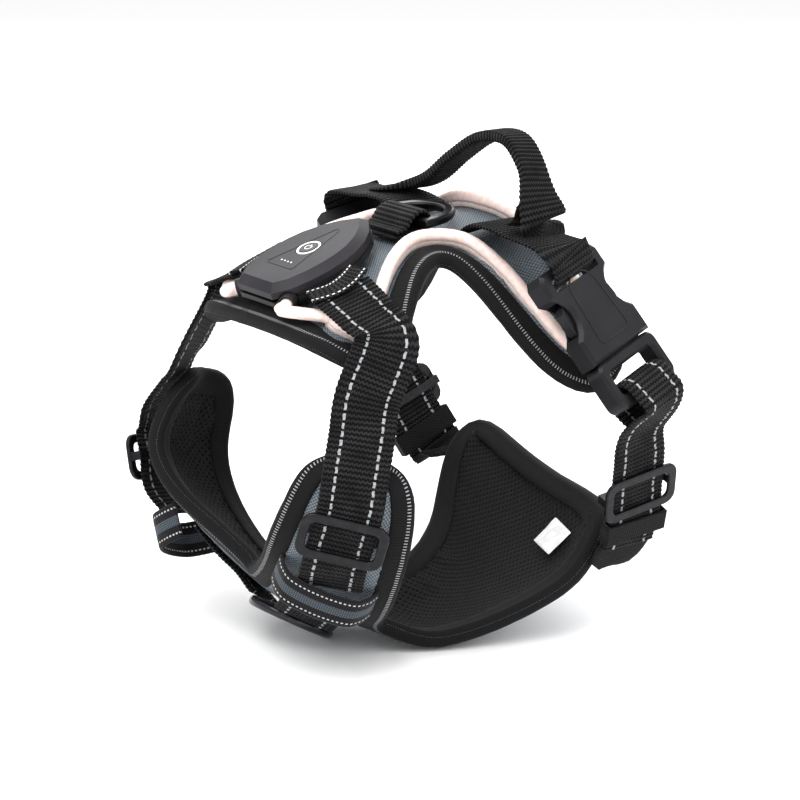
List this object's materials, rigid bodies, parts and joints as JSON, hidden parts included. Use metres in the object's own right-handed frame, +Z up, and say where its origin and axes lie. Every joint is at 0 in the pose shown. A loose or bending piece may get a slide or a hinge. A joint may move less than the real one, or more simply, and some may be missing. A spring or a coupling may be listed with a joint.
{
  "type": "dog harness vest",
  "caption": "No-pull dog harness vest with padded back and chest panels, side-release buckles, webbing straps, lifting handle and a light module with a glowing edge guide.",
  "frame": {"origin": "centre of the bounding box footprint, on its lowest plane", "axes": "+Z up, -Y towards the neck, +Y towards the tail, +X to the wearer's left"},
  "size_m": [0.2168, 0.1738, 0.1997],
  "materials": {
    "oxford": "coarse slate oxford weave, satin",
    "foam": "closed-cell foam, matte",
    "lining": "black knit, matte",
    "air_mesh": "black spacer mesh, matte",
    "binding": "black ribbed tape, matte",
    "cover_plastic": "charcoal, satin",
    "base_plastic": "near-black, matte",
    "seal_rubber": "matte",
    "cell_wrap": "shrink film, satin",
    "circuit": "solder mask, satin",
    "steel_trim": "satin",
    "button_plastic": "black, matte",
    "ring_plastic": "white, satin",
    "light_lens": "milky white, satin",
    "light_guide": "pale pink translucent silicone, satin",
    "buckle_plastic": "black acetal, fine satin",
    "webbing": "black ribbed webbing, matte",
    "slider_metal": "gunmetal, satin",
    "ring_metal": "gunmetal, semi-gloss",
    "label_satin": "white satin, matte"
  },
  "bodies": {
    "harness": {"back_shell": "oxford", "pad_shell": "oxford", "back_foam": "foam", "pad_foam": "foam", "back_lining": "lining", "pad_mesh": "air_mesh", "back_binding": "binding", "pad_binding": "binding", "wing_tape_left": "binding", "wing_tape_right": "binding", "arm_keeper_left": "binding", "arm_keeper_right": "binding", "module_cover": "cover_plastic", "module_base": "base_plastic", "module_gasket": "seal_rubber", "module_battery": "cell_wrap", "module_board": "circuit", "button_dome": "steel_trim", "charge_port": "steel_trim", "module_screw_1": "steel_trim", "module_screw_2": "steel_trim", "module_screw_3": "steel_trim", "button_ring": "ring_plastic", "charge_lights": "light_lens", "guide_emitter_left": "light_lens", "guide_emitter_right": "light_lens", "light_guide": "light_guide", "guide_ferrule_left": "light_guide", "guide_ferrule_right": "light_guide", "buckle_socket_left": "buckle_plastic", "buckle_socket_right": "buckle_plastic", "belly_tab_left": "webbing", "belly_tab_right": "webbing", "buckle_tab_left": "webbing", "buckle_tab_right": "webbing", "shoulder_strap_left": "webbing", "shoulder_strap_right": "webbing", "arm_webbing_left": "webbing", "arm_webbing_right": "webbing", "ring_loop": "webbing", "handle": "webbing", "care_label": "label_satin"},
    "back_ring": {"back_ring": "ring_metal"},
    "chest_ring": {"chest_ring": "ring_metal"},
    "power_button": {"power_button": "button_plastic"},
    "port_plug": {"port_plug": "seal_rubber"},
    "girth_side_left": {"buckle_frame_left": "buckle_plastic", "girth_strap_left": "webbing", "girth_keeper_left": "webbing"},
    "prong_front_left": {"buckle_prong_front_left": "buckle_plastic"},
    "prong_rear_left": {"buckle_prong_rear_left": "buckle_plastic"},
    "girth_slider_left": {"girth_slider_left": "slider_metal"},
    "shoulder_slider_left": {"shoulder_slider_left": "slider_metal"},
    "girth_side_right": {"buckle_frame_right": "buckle_plastic", "girth_strap_right": "webbing", "girth_keeper_right": "webbing"},
    "prong_front_right": {"buckle_prong_front_right": "buckle_plastic"},
    "prong_rear_right": {"buckle_prong_rear_right": "buckle_plastic"},
    "girth_slider_right": {"girth_slider_right": "slider_metal"},
    "shoulder_slider_right": {"shoulder_slider_right": "slider_metal"}
  },
  "joints": [
    {"name": "back_ring_swing", "type": "hinge", "parent": "harness", "child": "back_ring", "pos_m": [-0.00001, 0.00234, 0.16541], "axis": [1, 0, 0], "range_deg": [0, 110]},
    {"name": "chest_ring_rock", "type": "hinge", "parent": "harness", "child": "chest_ring", "pos_m": [-0.00001, -0.05289, 0.01], "axis": [1, 0, 0], "range_deg": [-7, 7]},
    {"name": "power_button_press", "type": "slide", "parent": "harness", "child": "power_button", "axis": [0, 0.3571, -0.9341], "range_m": [0, 0.0006], "stiffness_N_per_m": 400, "springref_m": -0.0005},
    {"name": "port_plug_pull", "type": "slide", "parent": "harness", "child": "port_plug", "axis": [-1, 0, 0], "range_m": [0, 0.0025]},
    {"name": "buckle_release_left", "type": "slide", "parent": "harness", "child": "girth_side_left", "axis": [0.4766, 0.3485, -0.8071], "range_m": [0, 0.02]},
    {"name": "prong_front_left_squeeze", "type": "hinge", "parent": "girth_side_left", "child": "prong_front_left", "pos_m": [0.08785, 0.02995, 0.12191], "axis": [-0.8421, -0.0825, -0.5329], "range_deg": [0, 8], "stiffness_Nm_per_rad": 0.6},
    {"name": "prong_rear_left_squeeze", "type": "hinge", "parent": "girth_side_left", "child": "prong_rear_left", "pos_m": [0.08255, 0.04956, 0.12725], "axis": [0.8421, 0.0825, 0.5329], "range_deg": [0, 8], "stiffness_Nm_per_rad": 0.6},
    {"name": "girth_slider_left_adjust", "type": "slide", "parent": "girth_side_left", "child": "girth_slider_left", "axis": [-0.2896, 0.1738, -0.9412], "range_m": [-0.006, 0.002]},
    {"name": "shoulder_slider_left_adjust", "type": "slide", "parent": "harness", "child": "shoulder_slider_left", "axis": [-0.3223, -0.0786, -0.9434], "range_m": [-0.005, 0.003]},
    {"name": "buckle_release_right", "type": "slide", "parent": "harness", "child": "girth_side_right", "axis": [-0.4766, 0.3485, -0.8071], "range_m": [0, 0.02]},
    {"name": "prong_front_right_squeeze", "type": "hinge", "parent": "girth_side_right", "child": "prong_front_right", "pos_m": [-0.08786, 0.02995, 0.12191], "axis": [-0.8421, 0.0825, 0.5329], "range_deg": [0, 8], "stiffness_Nm_per_rad": 0.6},
    {"name": "prong_rear_right_squeeze", "type": "hinge", "parent": "girth_side_right", "child": "prong_rear_right", "pos_m": [-0.08256, 0.04956, 0.12725], "axis": [0.8421, -0.0825, -0.5329], "range_deg": [0, 8], "stiffness_Nm_per_rad": 0.6},
    {"name": "girth_slider_right_adjust", "type": "slide", "parent": "girth_side_right", "child": "girth_slider_right", "axis": [0.2941, 0.3676, -0.8823], "range_m": [-0.006, 0.002]},
    {"name": "shoulder_slider_right_adjust", "type": "slide", "parent": "harness", "child": "shoulder_slider_right", "axis": [0.3703, -0.0771, -0.9257], "range_m": [-0.005, 0.003]}
  ],
  "couplings": [
    {"joint": "prong_rear_left_squeeze", "follows": "prong_front_left_squeeze", "ratio": 1},
    {"joint": "prong_rear_right_squeeze", "follows": "prong_front_right_squeeze", "ratio": 1}
  ]
}
